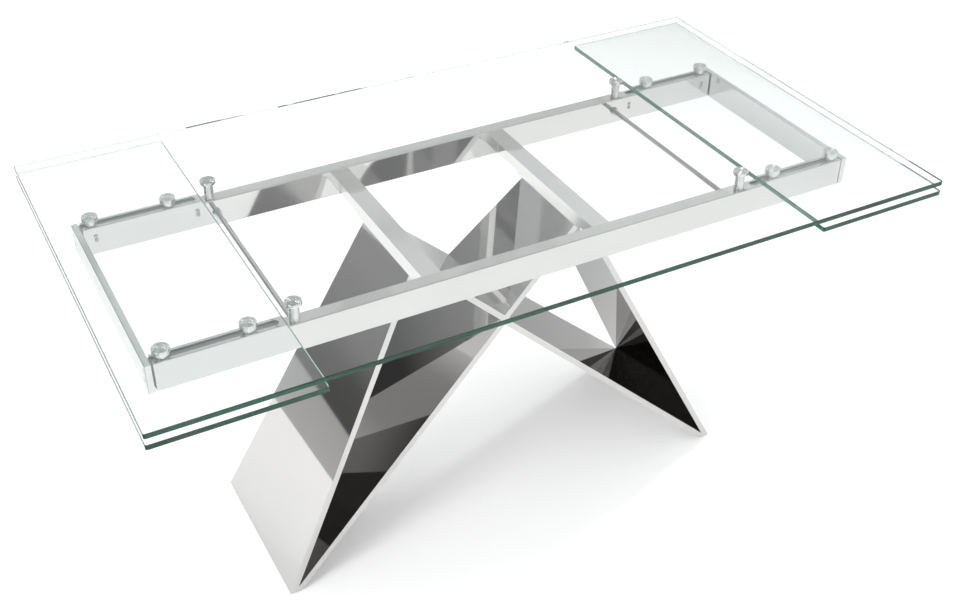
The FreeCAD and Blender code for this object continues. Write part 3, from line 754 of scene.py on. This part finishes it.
@dataclass
class DiscMounts:
    """Tall standoffs under the top and low pads under the leaves, all lathe work."""

    finishes: Finishes
    standoff_head_height: float = 7.0 * MM
    pad_head_height: float = 10.5 * MM
    edge_round: float = 0.7 * MM
    relief_depth: float = 0.5 * MM
    relief_width: float = 1.2 * MM
    foot_step: float = 1.6 * MM
    stem_radius: float = 9.75 * MM
    pad_neck_radius: float = 11.0 * MM
    pad_spigot_radius: float = 6.0 * MM
    pad_neck_lift: float = 1.0 * MM
    glass_gap: float = 0.05 * MM

    def build(self) -> None:
        """Turn the four standoffs and the eight pads."""
        for side in Side:
            for row in Row:
                place = f"{row.word}_{side.word}"
                self.standoff(f"standoff_{place}")
                for which in ("inner", "outer"):
                    self.pad(f"leaf_pad_{which}_{place}", side)

    def head(self, head_radius: float, head_height: float, neck_radius: float,
             height: float) -> list[tuple[float, float]]:
        """Corners of a head that stands on a neck, with a relief groove under it.

        Args:
            head_radius: the head's radius.
            head_height: the head's height.
            neck_radius: the neck's radius.
            height: the piece's whole height.

        Returns:
            (radius, height) corners from under the head to the axis on top.
        """
        under = height - head_height
        groove_radius = neck_radius - self.relief_depth
        return [(neck_radius, under - self.relief_width), (groove_radius, under - self.relief_width),
                (groove_radius, under), (head_radius, under), (head_radius, height), (0.0, height)]

    def standoff(self, node: str) -> None:
        """Turn one tall standoff in place of its node.

        Args:
            node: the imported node.
        """
        low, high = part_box(node)
        height = high.z - low.z - self.glass_gap
        waist = self.stem_radius - self.relief_depth / 2
        corners = [(0.0, 0.0), (self.stem_radius, 0.0), (self.stem_radius, self.foot_step),
                   (waist, self.foot_step + self.relief_depth)]
        corners += self.head((high.x - low.x) / 2, self.standoff_head_height, waist, height)
        self.turn_piece(node, rounded_profile(corners, self.edge_round), Body.FIXED)

    def pad(self, node: str, side: Side) -> None:
        """Turn one low pad in place of its node.

        Args:
            node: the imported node.
            side: the end of the table.
        """
        low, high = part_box(node)
        rail_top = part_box("side_rail_front")[1].z
        shoulder = rail_top + self.pad_neck_lift - low.z
        corners = [(0.0, 0.0), (self.pad_spigot_radius, 0.0), (self.pad_spigot_radius, shoulder),
                   (self.pad_neck_radius, shoulder)]
        corners += self.head((high.x - low.x) / 2, self.pad_head_height, self.pad_neck_radius,
                             high.z - low.z - self.glass_gap)
        self.turn_piece(node, rounded_profile(corners, self.edge_round), side.leaf_body)

    def turn_piece(self, node: str, profile: Sequence[tuple[float, float]], body: Body) -> None:
        """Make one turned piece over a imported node.

        Args:
            node: the node that it stands for.
            profile: its turned profile.
            body: the body that it rides on.
        """
        low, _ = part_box(node)
        centre = middle(node)
        draft = MeshDraft()
        draft.lathe(profile)
        draft.finish(f"turned_{node}", self.finishes.turned, body, [node],
                     Vector((centre.x, centre.y, low.z)))


@dataclass
class Slides:
    """Telescopic slides in the rails, the slider bars and the screws that hold them."""

    finishes: Finishes
    screw: CrossRecessScrew = field(default_factory=CrossRecessScrew)

    def build(self) -> None:
        """Dress the slides, the slider bars and their screws."""
        for side in Side:
            for row in Row:
                place = f"{row.word}_{side.word}"
                for member in ("outer", "middle", "inner"):
                    dress(f"slide_{member}_{place}", self.finishes.zinc)
                dress(f"slider_bar_{place}", self.finishes.aluminium)
            for node in (f"leaf_pad_studs_{side.word}", f"carriage_screws_{side.word}"):
                dress(node, self.finishes.zinc)
        self.mount_screws()

    def mount_screws(self) -> None:
        """Pan head screws that hold the outer slide members from the inside of the frame."""
        draft = MeshDraft()
        for low, high in loose_boxes("slide_mount_screws"):
            centre = (low + high) / 2
            inner_y = min(low.y, high.y, key=abs)
            facing = Vector((0, -math.copysign(1, centre.y), 0))
            self.screw.add(draft, Vector((centre.x, inner_y, centre.z)), facing, (high.z - low.z) / 2,
                           high.y - low.y)
        draft.finish("cross_recess_screws", self.finishes.zinc, Body.FIXED,
                     ["slide_mount_screws"])


@dataclass
class CrossedBase:
    """Polished panels, head plates with their bolts, and the soles under the feet."""

    finishes: Finishes

    def build(self) -> None:
        """Dress the base."""
        for node in ("base_panel_cross_left", "base_panel_cross_right_lower", "base_panel_cross_right_upper",
                     "base_panel_outer_left", "base_panel_outer_right"):
            dress(node, self.finishes.mirror)
        for side in Side:
            dress(f"base_head_plate_{side.word}", self.finishes.bar)
            dress(f"foot_sole_{side.word}", self.finishes.nylon)
        dress("base_bolts", self.finishes.zinc)
        dress("base_nuts", self.finishes.zinc)


# ------------------------------------------------------------------ studio
@dataclass(frozen=True)
class Softbox:
    """A round lamp that is aimed at the table. Reflections show it only if it is mirrored."""

    name: str
    place: tuple[float, float, float]
    size: float
    power: float
    mirrored: bool


@dataclass
class Studio:
    """Pale floor, soft light, surroundings for the polished faces, and the camera.

    The floor, the lamps and a white dome light the table. The walls, the glowing card and the painted
    floor shadow are what its mirror faces show, and only reflections see them; the card and the shadow
    are painted reflection. Their places and levels were chosen for the view camera, and are arbitrary
    from any other side.
    """

    floor_reach: float = 60.0
    floor_tints: tuple[str, str] = ("#F6F6F6", "#F9F9F9")
    floor_tooth_mm: float = 6.0
    sheet_lift: float = 2 * MM
    # A glowing card seen only in reflections: its greys are painted reflection.
    card_near: float = -1.2
    card_far: float = -9.0
    card_ends: tuple[float, float, float] = (-6.0, 3.0, 9.0)
    card_slant: tuple[float, float] = (-0.95, 0.33)
    card_fade: float = 4.0
    card_stops: tuple[tuple[float, float], ...] = (
        (0.0, 0.6), (0.112, 0.52), (0.116, 0.1), (0.25, 0.12), (0.4, 0.22), (1.0, 0.28))
    # Painted shadow of the table on the floor, seen only in reflections.
    painted_shadow_centre: tuple[float, float] = (0.72, 0.8)
    painted_shadow_reach: float = 0.95
    patch_sides: int = 64
    painted_shadow_stops: tuple[tuple[float, float], ...] = ((0.0, 0.42), (0.5, 0.5), (1.0, 0.95))
    dome_strength: float = 1.0
    zenith_level: float = 0.4
    zenith_span: tuple[float, float] = (0.8, 0.9)
    front_wall_levels: tuple[float, float] = (0.1, 0.8)
    front_wall_span: tuple[float, float] = (-0.45, 0.2)
    left_wall_share: float = 0.45
    left_wall_span: tuple[float, float] = (-0.4, 0.5)
    front_to_back: tuple[float, float] = (0.15, -0.25)
    wall_stops: tuple[tuple[float, float], ...] = (
        (0.0, 0.12), (0.36, 0.1), (0.4, 0.4), (0.46, 0.7), (0.5, 0.86), (0.66, 0.88), (0.69, 0.2),
        (0.8, 0.16), (0.9, 0.4))
    lamp_aim: tuple[float, float, float] = (0.0, 0.0, 0.4)
    softboxes: tuple[Softbox, ...] = (
        Softbox("key_softbox", (-4.6, -1.8, 3.4), 2.2, 135.0, True),
        Softbox("fill_softbox", (0.6, 1.6, 5.2), 4.0, 52.0, False),
        Softbox("disc_lamp", (2.0, 1.7, 4.4), 0.5, 34.0, True))
    camera_place: tuple[float, float, float] = (-1.03858, -1.93238, 2.03094)
    camera_degrees: tuple[float, float, float] = (-28.605, 35.890, 0.544)
    camera_lens_mm: float = 47.948
    camera_shift: tuple[float, float] = (-0.00215, -0.00165)

    def build(self) -> None:
        """Set up the whole studio."""
        self.floor()
        self.card()
        self.patch()
        self.sky()
        self.lamps()
        self.camera()
        settings = bpy.context.scene.view_settings
        settings.view_transform = "Standard"
        settings.look = "None"

    def sheet(self, name: str, corners: Sequence[tuple[float, float, float]],
              material: bpy.types.Material) -> bpy.types.Object:
        """A flat surface that isn't part of the table.

        Args:
            name: its name.
            corners: its corners in order.
            material: its finish.

        Returns:
            The new object.
        """
        mesh = bpy.data.meshes.new(name)
        mesh.from_pydata(corners, [], [tuple(range(len(corners)))])
        mesh.materials.append(material)
        sheet = bpy.data.objects.new(name, mesh)
        bpy.context.scene.collection.objects.link(sheet)
        return sheet

    def floor(self) -> None:
        """Seamless white paper: matt, with a very faint tooth."""
        material, tree, output = new_material("studio_paper")
        coord = add_node(tree, "ShaderNodeTexCoord")
        tooth = add_node(tree, "ShaderNodeTexNoise", {"Scale": per_metre(self.floor_tooth_mm), "Detail": 3.0},
                         {"Vector": coord.outputs["Object"]})
        low_tint, high_tint = self.floor_tints
        colour = add_node(tree, "ShaderNodeMix",
                          {"data_type": "RGBA", 6: linear(low_tint), 7: linear(high_tint)},
                          {0: tooth.outputs["Fac"]})
        paper = add_node(tree, "ShaderNodeBsdfPrincipled", {"Roughness": 0.9, "Specular IOR Level": 0.1},
                         {"Base Color": colour.outputs[2]})
        tree.links.new(paper.outputs[0], output.inputs["Surface"])
        reach = self.floor_reach
        corners = [(-reach, -reach, 0), (reach, -reach, 0), (reach, reach, 0), (-reach, reach, 0)]
        self.sheet("studio_floor", corners, material)

    def card(self) -> None:
        """A card beside the table that only the polished faces see; it glows with greys that are a painted
        reflection of the dim studio.
        """
        material, tree, output = new_material("studio_card")
        coord = add_node(tree, "ShaderNodeTexCoord")
        place = add_node(tree, "ShaderNodeSeparateXYZ", links={0: coord.outputs["Object"]})
        share = add_node(tree, "ShaderNodeMapRange",
                         {"From Min": self.card_near, "From Max": self.card_near - self.card_fade},
                         {"Value": place.outputs["X"]})
        grey = set_ramp(add_node(tree, "ShaderNodeValToRGB", links={0: share.outputs[0]}), self.card_stops)
        # Painted reflection: the card glows with these greys, which the mirror faces show as dark bands.
        glow = add_node(tree, "ShaderNodeEmission", links={"Color": grey.outputs["Color"]})
        tree.links.new(glow.outputs[0], output.inputs["Surface"])
        front, bend, back = self.card_ends
        front_x, back_x = (self.card_near + slant for slant in self.card_slant)
        outline = [(front_x, front), (back_x, bend), (back_x, back), (self.card_far, back),
                   (self.card_far, front)]
        card = self.sheet("studio_card", [(x, y, self.sheet_lift) for x, y in outline], material)
        self.only_mirrored(card)

    def patch(self) -> None:
        """Painted shadow: a glowing grey disc on the floor under and behind the base, seen only in the
        polished faces.
        """
        material, tree, output = new_material("studio_painted_floor_shadow")
        coord = add_node(tree, "ShaderNodeTexCoord")
        place = add_node(tree, "ShaderNodeVectorMath",
                         {"operation": "DISTANCE", 1: (*self.painted_shadow_centre, 0.0)},
                         {0: coord.outputs["Object"]})
        share = add_node(tree, "ShaderNodeMapRange", {"From Max": self.painted_shadow_reach},
                         {0: place.outputs["Value"]})
        grey = set_ramp(add_node(tree, "ShaderNodeValToRGB", links={0: share.outputs[0]}), self.painted_shadow_stops)
        # Painted shadow: the disc glows darkest at its middle, where the table shades the floor.
        glow = add_node(tree, "ShaderNodeEmission", links={"Color": grey.outputs["Color"]})
        tree.links.new(glow.outputs[0], output.inputs["Surface"])
        outline = circle(Vector((*self.painted_shadow_centre, self.sheet_lift)), Matrix.Identity(3), self.painted_shadow_reach,
                         0.0, self.patch_sides)
        patch = self.sheet("studio_painted_floor_shadow", [tuple(point) for point in outline], material)
        self.only_mirrored(patch)

    @staticmethod
    def only_mirrored(sheet: bpy.types.Object) -> None:
        """Hide a sheet from everything but reflections."""
        sheet.visible_camera = False
        sheet.visible_diffuse = False
        sheet.visible_transmission = False
        sheet.visible_shadow = False

    def sky(self) -> None:
        """Even white light from all round, with grey walls that only mirror reflections show."""
        world = bpy.data.worlds.new("studio_light")
        bpy.context.scene.world = world
        world.use_nodes = True
        tree = world.node_tree
        tree.nodes.clear()
        output = add_node(tree, "ShaderNodeOutputWorld")
        coord = add_node(tree, "ShaderNodeTexCoord")
        ray = add_node(tree, "ShaderNodeSeparateXYZ", links={0: coord.outputs["Generated"]})
        height = set_ramp(add_node(tree, "ShaderNodeValToRGB", links={0: ray.outputs["Z"]}), self.wall_stops)
        left = add_node(tree, "ShaderNodeMapRange",
                        {"From Min": self.left_wall_span[0], "From Max": self.left_wall_span[1],
                         "To Min": self.left_wall_share},
                        {"Value": ray.outputs["X"]})
        back = add_node(tree, "ShaderNodeMath", {"operation": "MULTIPLY"},
                        {0: height.outputs["Color"], 1: left.outputs[0]})
        front = add_node(tree, "ShaderNodeMapRange",
                         {"From Min": self.front_wall_span[0], "From Max": self.front_wall_span[1],
                          "To Min": self.front_wall_levels[0], "To Max": self.front_wall_levels[1]},
                         {"Value": ray.outputs["X"]})
        facing = add_node(tree, "ShaderNodeMapRange",
                          {"From Min": self.front_to_back[0], "From Max": self.front_to_back[1]},
                          {"Value": ray.outputs["Y"]})
        around = add_node(tree, "ShaderNodeMix",
                          links={0: facing.outputs[0], 2: back.outputs[0], 3: front.outputs[0]})
        overhead = add_node(tree, "ShaderNodeMapRange",
                            {"From Min": self.zenith_span[0], "From Max": self.zenith_span[1],
                             "To Max": self.zenith_level},
                            {"Value": ray.outputs["Z"]})
        level = add_node(tree, "ShaderNodeMath", {"operation": "MAXIMUM"},
                         {0: around.outputs[0], 1: overhead.outputs[0]})
        walls = add_node(tree, "ShaderNodeBackground", {"Color": linear(WHITE)},
                         {"Strength": level.outputs[0]})
        dome = add_node(tree, "ShaderNodeBackground",
                        {"Color": linear(WHITE), "Strength": self.dome_strength})
        path = add_node(tree, "ShaderNodeLightPath")
        mirrored = add_node(tree, "ShaderNodeMath", {"operation": "GREATER_THAN", 1: 0.5},
                            {0: path.outputs["Glossy Depth"]})
        direct = add_node(tree, "ShaderNodeMath", {"operation": "LESS_THAN", 1: 0.5},
                          {0: path.outputs["Diffuse Depth"]})
        chosen = add_node(tree, "ShaderNodeMath", {"operation": "MULTIPLY"},
                          {0: mirrored.outputs[0], 1: direct.outputs[0]})
        mix = add_node(tree, "ShaderNodeMixShader", links={
            0: chosen.outputs[0], 1: dome.outputs[0], 2: walls.outputs[0]})
        tree.links.new(mix.outputs[0], output.inputs["Surface"])

    def lamps(self) -> None:
        """A large key on the left, an overhead fill, and a small lamp that wakes the turned discs."""
        for box in self.softboxes:
            lamp = bpy.data.lights.new(box.name, "AREA")
            lamp.shape = "DISK"
            lamp.size = box.size
            lamp.energy = box.power
            holder = bpy.data.objects.new(box.name, lamp)
            holder.location = box.place
            aim = Vector(self.lamp_aim) - Vector(box.place)
            holder.rotation_euler = aim.to_track_quat("-Z", "Y").to_euler()
            holder.visible_glossy = box.mirrored
            holder.visible_transmission = False
            bpy.context.scene.collection.objects.link(holder)

    def camera(self) -> None:
        """Look down on the table from its front left."""
        azimuth, elevation, roll = (math.radians(a) for a in self.camera_degrees)
        back = Vector((math.sin(azimuth) * math.cos(elevation), -math.cos(azimuth) * math.cos(elevation),
                       math.sin(elevation)))
        right = Vector((math.cos(azimuth), math.sin(azimuth), 0.0))
        up = back.cross(right)
        tilted_right = math.cos(roll) * right + math.sin(roll) * up
        tilted_up = -math.sin(roll) * right + math.cos(roll) * up
        lens = bpy.data.cameras.new("view_camera")
        lens.sensor_width = 36.0
        lens.lens = self.camera_lens_mm
        lens.shift_x, lens.shift_y = self.camera_shift
        holder = bpy.data.objects.new("view_camera", lens)
        turn = Matrix((tilted_right, tilted_up, back)).transposed().to_4x4()
        holder.matrix_world = Matrix.Translation(self.camera_place) @ turn
        bpy.context.scene.collection.objects.link(holder)
        bpy.context.scene.camera = holder


def allow_long_light_paths() -> None:
    """Let light run along inside the panes, which turns their edges green together with the painted edge
    shade.
    """
    cycles = bpy.context.scene.cycles
    cycles.max_bounces = 128
    cycles.glossy_bounces = 112
    cycles.transmission_bounces = 32


def main() -> None:
    """Build every sub-assembly in order, then the studio."""
    logging.basicConfig(level=logging.INFO, format="%(message)s")
    finishes = Finishes()
    for assembly in (GlassPanes(finishes), SideFrame(finishes), DiscMounts(finishes), Slides(finishes),
                     CrossedBase(finishes), Studio()):
        assembly.build()
    allow_long_light_paths()


if __name__ == "__main__":
    main()
